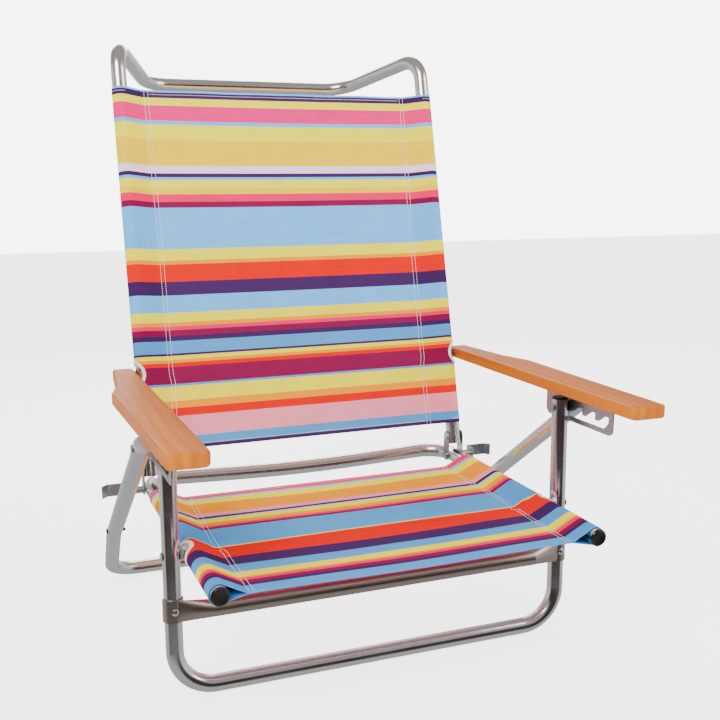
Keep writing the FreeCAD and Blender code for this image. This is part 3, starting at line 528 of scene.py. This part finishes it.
def point_along(row, lengths, distance):
    """The point at a distance along a row of points."""
    distance = min(max(distance, 0.0), lengths[-1])
    index = 0
    while index < len(lengths) - 2 and lengths[index + 1] < distance:
        index += 1
    part = (distance - lengths[index]) / max(lengths[index + 1] - lengths[index], 1e-9)
    return row[index].lerp(row[index + 1], part)


def add_stitch(bm, start, end):
    """One stitch: a capsule that is thickest in the middle."""
    axis = (end - start).normalized()
    side = axis.orthogonal().normalized()
    over = axis.cross(side)
    rings = []
    for part, thick in STITCH_SHAPE:
        centre = start.lerp(end, part)
        ring = []
        for corner in range(STITCH_CORNERS):
            angle = corner * 2 * math.pi / STITCH_CORNERS
            spoke = side * math.cos(angle) + over * math.sin(angle)
            ring.append(bm.verts.new(centre + spoke * STITCH_RADIUS * thick))
        rings.append(ring)
    skin(bm, rings)
    bm.faces.new(rings[0][::-1])
    bm.faces.new(rings[-1])


def stitch_rows(name, rows):
    """Sewn threads along rows of points."""
    bm = bmesh.new()
    for row in rows:
        lengths = [0.0]
        for before, after in zip(row, row[1:]):
            lengths.append(lengths[-1] + (after - before).length)
        for index in range(max(1, int(lengths[-1] / STITCH_PITCH))):
            start = point_along(row, lengths, (index + STITCH_GAP) * STITCH_PITCH)
            end = point_along(row, lengths, (index + 1 - STITCH_GAP) * STITCH_PITCH)
            add_stitch(bm, start, end)
    bmesh.ops.recalc_face_normals(bm, faces=bm.faces)
    return add_piece(name, bm, THREAD)


SEAM_POINTS = 150
HEM_POINTS = 60  # to each side of the middle


def sew(sling):
    """Seam rows on both sides of the cloth, and hem rows along both ends."""
    rows = []
    first_v = sling.start + 0.002
    reach = sling.end - sling.start - 0.004
    for side in (-1, 1):
        for face in (-1, 1):
            for inset in (ROW_INSET, ROW_INSET + ROW_GAP):
                row = []
                for step in range(SEAM_POINTS + 1):
                    v = first_v + reach * step / SEAM_POINTS
                    x = SEAM_INNER - sling.seam_shift(v) + inset
                    row.append(sling.surface(side, x, v, face))
                rows.append(row)
    for v, faces in ((sling.start + HEM, sling.first_hem_faces), (sling.end - HEM, (-1, 1))):
        edge = SEAM_INNER - sling.seam_shift(v)
        for face in faces:
            rows.append([sling.surface(1, edge * step / HEM_POINTS, v, face)
                         for step in range(-HEM_POINTS, HEM_POINTS + 1)])
        if 1 in faces:
            rows += [sling.sleeve_line(side, v) for side in (-1, 1)]
    return stitch_rows(sling.name + "_stitches", rows)


# ---------------------------------------------------------------- bindings and hems
RING_STEPS = 48
TAPE_STEPS = 10
TAPE_HALF_WIDTH = 0.0026
TAPE_HALF_THICK = 0.0016
TAPE_OFFSET = 0.0014  # from the cut edge to the middle of the tape


def binding_ring(sling, side_name, side):
    """The white tape folded over the edge of a cut-out."""
    bm = bmesh.new()
    rings = []
    for step in range(RING_STEPS):
        turn = 2 * math.pi * step / RING_STEPS
        ring = []
        for corner in range(TAPE_STEPS):
            angle = 2 * math.pi * corner / TAPE_STEPS
            reach = CUT_RADIUS + TAPE_OFFSET + TAPE_HALF_WIDTH * math.cos(angle)
            radius = SLEEVE_RADIUS + TAPE_HALF_THICK * math.sin(angle)
            x, s = sling.on_tube(reach * math.cos(turn) / SLEEVE_RADIUS, radius)
            v = sling.cut_at + reach * math.sin(turn)
            ring.append(bm.verts.new(sling.frame.at(side * x, v, s)))
        rings.append(ring)
    skin(bm, rings + rings[:1])
    bmesh.ops.recalc_face_normals(bm, faces=bm.faces)
    return add_piece(f"{sling.name}_{side_name}_binding", bm, BINDING)


HEM_DEPTH = HEM + 0.003
HEM_LAYER = 1.02  # the turned-under edge's depth below the panel, in thicknesses of cloth
HEM_EDGE_INSET = 0.0004
HEM_COLUMNS = 50  # to each side of the middle
HEM_ROWS = 4


def hem_strips(sling, material):
    """The turned-under edge at each end of the panel, as a second layer below the cloth."""
    pieces = []
    for end_name, edge, inward in (("first", sling.start, 1), ("last", sling.end, -1)):
        bm = bmesh.new()
        uv = bm.loops.layers.uv.new("cloth")
        v_edge = edge + inward * HEM_EDGE_INSET
        x_limit = SEAM_INNER - TAIL - 0.002 - sling.seam_shift(v_edge)
        grid = []
        for step in range(-HEM_COLUMNS, HEM_COLUMNS + 1):
            x = x_limit * step / HEM_COLUMNS
            column = []
            for part in range(HEM_ROWS + 1):
                v = v_edge + inward * HEM_DEPTH * part / HEM_ROWS
                s = -PANEL_DROP + sling.relief(x, v) - CLOTH * HEM_LAYER
                column.append((bm.verts.new(sling.frame.at(x, v, s)), x, v))
            grid.append(column)
        for left, right in zip(grid, grid[1:]):
            for low in range(HEM_ROWS):
                ring = [left[low], right[low], right[low + 1], left[low + 1]]
                face = quad(bm, ring)
                for loop, (_, x, v) in zip(face.loops, ring):
                    loop[uv].uv = (x, sling.texture_v(x, v))
        piece = add_piece(f"{sling.name}_{end_name}_hem", bm, material)
        thicken(piece)
        pieces.append(piece)
    return pieces


# ---------------------------------------------------------------- the two slings
PULL_AT = 0.128  # v of the back's pull lines at the seams, and of the dip below them
DIP_AT = 0.108
BACK_TOP = 0.5635


def back_seam_shift(v):
    """The seams draw in from the top, step in below the arm bolts, and spread at the bottom."""
    drawn_in = 0.003 * smooth(v, 0.56, 0.30)
    return drawn_in + 0.002 * smooth(v, 0.135, 0.12) - 0.0035 * smooth(v, 0.12, 0.03)


def back_relief(x, v):
    """A tight panel with slight pull lines towards the arm pivots."""
    x = abs(x)
    pull = swell(v - PULL_AT - 0.12 * (SEAM_INNER - x), 0.011) * smooth(x, 0.06, SEAM_INNER)
    dip = swell(v - DIP_AT, 0.016) * smooth(x, 0.10, SEAM_INNER)
    wave = 0.0006 * math.sin(v * 21 + 1.1) * math.cos(x * 9) + 0.0004 * math.sin(v * 47 + x * 13)
    edge = 0.0011 * smooth(v, 0.55, BACK_TOP) * math.sin(x * 60)
    hollow = 0.0025 * math.cos(min(x, 0.2) / 0.2 * math.pi / 2)
    return 0.0016 * pull - 0.0012 * dip + wave + edge - hollow


def seat_seam_shift(v):
    """The seams spread from the rear to the leg pivots, and step in beside them."""
    rear = 0.003 - 0.006 * smooth(v, 0.2, 0.03)
    return rear + 0.003 * smooth(v, 0.03, -0.012)


def seat_relief(x, v):
    """A slack panel: it sags between the tubes and has a shallow tuck at the leg pivots."""
    x = abs(x)
    sag = -0.001 * math.cos(min(x, SEAM_INNER) / SEAM_INNER * math.pi / 2) ** 1.3
    tuck = -0.0022 * swell(v - 0.013, 0.005)
    ahead = 0.0014 * swell(v + 0.008, 0.016)
    wave = 0.0008 * math.sin(v * 26 + 0.4) * math.cos(x * 11) + 0.0004 * math.sin(v * 61 + x * 17)
    return sag + tuck + ahead + wave


LINE_START, RED_END = 0.2041, 0.247  # on the seat's stripes: inside the yellow line, and past the red


def seat_stripe_slip(across, place):
    """On the left sleeve the yellow line widens over the red stripe, towards the tube."""
    widened = max(0.0, min((place - LINE_START) * 0.86, (RED_END - place) * 0.26))
    return widened * smooth(across, 0.212, 0.245)


def make_sling(sling, body):
    """The cloth, its threads, tapes and hems, on the body that carries them."""
    material = sling_material(sling.name + "_stripes", sling.stripes)
    piece = sling.build(material)
    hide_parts(sling.node)
    extras = [sew(sling), binding_ring(sling, "left", 1), binding_ring(sling, "right", -1)]
    extras += hem_strips(sling, material)
    for item in [piece] + extras:
        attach(item, body)


back_sling = Sling("back_cloth", "back_sling", BACK, ARM_BOLT, BACK_STRIPES, back_seam_shift,
                   back_relief, (-1, 1))
seat_sling = Sling("seat_cloth", "seat_sling", SEAT, LEG_PIVOT, SEAT_STRIPES, seat_seam_shift,
                   seat_relief, (-1,), seat_stripe_slip)
make_sling(back_sling, "back")
make_sling(seat_sling, "seat")


# ---------------------------------------------------------------- hard materials
def aluminium_material(name, shade, rough):
    """Drawn tube: faint draw lines, small dings and a trace of haze."""
    material, tree, shader = new_material(name)
    shader.inputs["Metallic"].default_value = 1.0
    shader.inputs["Base Color"].default_value = shade
    haze = noise_node(tree, object_place(tree), 16.0, 5.0)
    tree.links.new(noise_span(tree, haze, rough, rough + 0.1), shader.inputs["Roughness"])
    ding = noise_node(tree, object_place(tree), 30.0, 2.0)
    line = noise_node(tree, object_place(tree), 900.0, 2.0)
    dinged = bump_node(tree, ding, 0.0006, 0.25)
    tree.links.new(bump_node(tree, line, 0.00003, 0.3, dinged), shader.inputs["Normal"])
    return material


def zinc_material():
    """Galvanised steel with its mottled bloom."""
    material, tree, shader = new_material("zinc_steel")
    shader.inputs["Metallic"].default_value = 1.0
    bloom = noise_node(tree, object_place(tree), 260.0, 4.0)
    shade = mix_colour(tree, noise_span(tree, bloom), colour(160, 166, 170), colour(186, 190, 192))
    tree.links.new(shade, shader.inputs["Base Color"])
    tree.links.new(noise_span(tree, bloom, 0.3, 0.4), shader.inputs["Roughness"])
    tree.links.new(bump_node(tree, bloom, 0.00005, 0.3), shader.inputs["Normal"])
    return material


def plastic_material(name, shade, worn, rough):
    """Moulded plastic with a fine grain and worn patches."""
    material, tree, shader = new_material(name)
    grain = noise_node(tree, object_place(tree), 500.0, 3.0)
    cloud = noise_node(tree, object_place(tree), 70.0, 3.0)
    patched = mix_colour(tree, span_node(tree, cloud, 0.4, 0.7), shade, worn)
    tree.links.new(patched, shader.inputs["Base Color"])
    tree.links.new(noise_span(tree, cloud, rough, rough + 0.12), shader.inputs["Roughness"])
    tree.links.new(bump_node(tree, grain, 0.00005, 0.4), shader.inputs["Normal"])
    return material


def wood_material(name, offset):
    """Varnished hardwood with its grain along the arm; the offset picks another plank."""
    material, tree, shader = new_material(name)
    coordinates = tree.nodes.new("ShaderNodeTexCoord")
    mapping = add_node(tree, "ShaderNodeMapping", Vector=coordinates.outputs["Object"],
                       Location=(offset, offset * 0.7, 0), Scale=(1.0, 0.09, 1.0))
    place = mapping.outputs[0]
    warp = add_node(tree, "ShaderNodeTexNoise", Vector=place, Scale=26.0, Detail=3.0,
                    Distortion=0.6)
    rings = add_node(tree, "ShaderNodeTexWave", Vector=place, Scale=22.0, Distortion=5.0,
                     Detail=3.0)
    rings.wave_type = "BANDS"
    rings.bands_direction = "X"
    pores = noise_node(tree, object_place(tree, (900, 45, 900)), 1.0, 2.0)
    base = mix_colour(tree, noise_span(tree, warp.outputs[0]), colour(216, 120, 16),
                      colour(192, 96, 10))
    ring_amount = span_node(tree, rings.outputs[1], 0.2, 0.9, 0.0, 0.35)
    base = mix_colour(tree, ring_amount, base, colour(160, 76, 12))
    pore_amount = span_node(tree, pores, 0.62, 0.75, 0.0, 0.45)
    base = mix_colour(tree, pore_amount, base, colour(110, 48, 8))
    tree.links.new(base, shader.inputs["Base Color"])
    tree.links.new(noise_span(tree, pores, 0.34, 0.48), shader.inputs["Roughness"])
    tree.links.new(bump_node(tree, pores, 0.00012, 0.35), shader.inputs["Normal"])
    shader.inputs["Specular IOR Level"].default_value = 0.22
    return material


SLOT_MATERIALS = {
    "tube_aluminium": aluminium_material("polished_aluminium", colour(226, 222, 219), 0.16),
    "zinc_steel": zinc_material(),
    "black_plastic": plastic_material("black_plastic", colour(18, 16, 16), colour(34, 31, 30), 0.1),
    "grey_plastic": plastic_material("grey_plastic", colour(170, 160, 164), colour(150, 142, 146),
                                     0.35),
}
NODE_MATERIALS = {
    "left_arm_board": wood_material("left_wood", 0.31),
    "right_arm_board": wood_material("right_wood", 1.7),
    # painted reflection: the brace's base colour is darkened and browned to stand in for the dark surroundings its
    # aluminium mirrors
    "front_brace": aluminium_material("pressed_aluminium", colour(176, 160, 150), 0.3),
}


def dress_nodes():
    """Gives each CAD node that shows its own material, or else the one of its slot."""
    slots = {item["node"]: item["material_slot"] for item in frame["record"]["subparts"]}
    for node, item in NODES.items():
        material = NODE_MATERIALS.get(node) or SLOT_MATERIALS.get(slots[node])
        if material is not None:
            item.data.materials.clear()
            item.data.materials.append(material)


dress_nodes()


# ---------------------------------------------------------------- studio
FLOOR_SIZE = 20
CARD_TOWARDS = (-0.34, -0.94, 0.0)
CARD_LEVEL = 0.1  # how far below the horizon the card's middle lies
CARD_SHADE = (0.05, 0.034, 0.03, 1)
# What metal mirrors, from straight down (0) to straight up (1).
SKY_RAMP = [
    (0.3, (0.6, 0.63, 0.65, 1)), (0.45, (1, 1, 1, 1)), (0.62, (1, 1, 1, 1)),
    (0.72, (0.4, 0.35, 0.31, 1)),
]
SKY_BOTTOM = (0.5, 0.53, 0.56, 1)
SKY_TOP = (0.46, 0.42, 0.39, 1)
DIFFUSE_SKY = (1.0, 1.0, 1.0, 1)
SEEN_SKY = (7.0, 7.0, 7.0, 1)
# Each area light is (name, place, aim, size, power).
LIGHTS = [
    ("key", (-1.6, -1.8, 2.4), (0, 0, 0.35), (1.6, 1.2), 72),
    ("fill", (2.2, -1.4, 1.6), (0, 0, 0.35), (1.4, 1.6), 30),
    ("back", (0.4, 2.4, 2.0), (0, 0.1, 0.5), (2.2, 1.2), 50),
]


def floor():
    """A pale floor that metal doesn't mirror, brighter to the camera than to the chair."""
    material, tree, shader = new_material("floor")
    shader.inputs["Base Color"].default_value = (0.9, 0.9, 0.9, 1)
    shader.inputs["Roughness"].default_value = 0.9
    shader.inputs["Emission Color"].default_value = (1.0, 1.0, 1.0, 1)
    seen = add_node(tree, "ShaderNodeLightPath").outputs["Is Camera Ray"]
    tree.links.new(span_node(tree, seen, 0.0, 1.0, 0.5, 3.0), shader.inputs["Emission Strength"])
    bm = bmesh.new()
    bmesh.ops.create_grid(bm, x_segments=1, y_segments=1, size=FLOOR_SIZE)
    piece = add_piece("floor", bm, material)
    piece.visible_glossy = False


def sky():
    """An even sky; metal mirrors a ramp from floor to ceiling, with a dark card in front."""
    world = bpy.data.worlds.new("studio")
    bpy.context.scene.world = world
    world.use_nodes = True
    tree = world.node_tree
    background = tree.nodes["Background"]
    direction = tree.nodes.new("ShaderNodeTexCoord").outputs["Generated"]
    height = add_node(tree, "ShaderNodeSeparateXYZ", Vector=direction).outputs[2]
    forward = add_node(tree, "ShaderNodeVectorMath", _0=direction, _1=CARD_TOWARDS)
    forward.operation = "DOT_PRODUCT"
    ahead = span_node(tree, forward.outputs["Value"], 0.25, 0.5)
    off_level = math_node(tree, "ABSOLUTE", math_node(tree, "ADD", height, CARD_LEVEL))
    card = math_node(tree, "MULTIPLY", ahead, span_node(tree, off_level, 0.5, 0.3))
    ramp = tree.nodes.new("ShaderNodeValToRGB")
    tree.links.new(span_node(tree, height, -1.0, 1.0), ramp.inputs[0])
    elements = ramp.color_ramp.elements
    elements[0].position, elements[0].color = 0.0, SKY_BOTTOM
    elements[1].position, elements[1].color = 1.0, SKY_TOP
    for place, shade in SKY_RAMP:
        elements.new(place).color = shade
    mirrored = mix_colour(tree, card, ramp.outputs[0], CARD_SHADE)
    path = tree.nodes.new("ShaderNodeLightPath")
    shade = mix_colour(tree, path.outputs["Is Glossy Ray"], DIFFUSE_SKY, mirrored)
    shade = mix_colour(tree, path.outputs["Is Camera Ray"], shade, SEEN_SKY)
    tree.links.new(shade, background.inputs["Color"])
    background.inputs["Strength"].default_value = 0.95


def area_light(name, place, aim, size, power):
    light = bpy.data.lights.new(name, "AREA")
    light.shape = "RECTANGLE"
    light.size, light.size_y = size
    light.energy = power
    item = bpy.data.objects.new(name, light)
    item.location = place
    item.rotation_euler = (Vector(aim) - Vector(place)).to_track_quat("-Z", "Y").to_euler()
    bpy.context.scene.collection.objects.link(item)


def camera():
    data = bpy.data.cameras.new("camera")
    data.lens = 50.0
    data.sensor_width = 36.0
    data.shift_x = 0.0171
    data.shift_y = 0.0195
    data.dof.use_dof = False
    item = bpy.data.objects.new("camera", data)
    item.location = (-0.49245, -1.36584, 0.59106)
    yaw, pitch, roll = math.radians(21.13), math.radians(8.87), math.radians(-1.06)
    facing = Euler((math.pi / 2 - pitch, 0, -yaw), "XYZ").to_matrix()
    item.rotation_euler = (facing @ Euler((0, 0, roll), "XYZ").to_matrix()).to_euler()
    bpy.context.scene.collection.objects.link(item)
    bpy.context.scene.camera = item


floor()
sky()
for light in LIGHTS:
    area_light(*light)
camera()
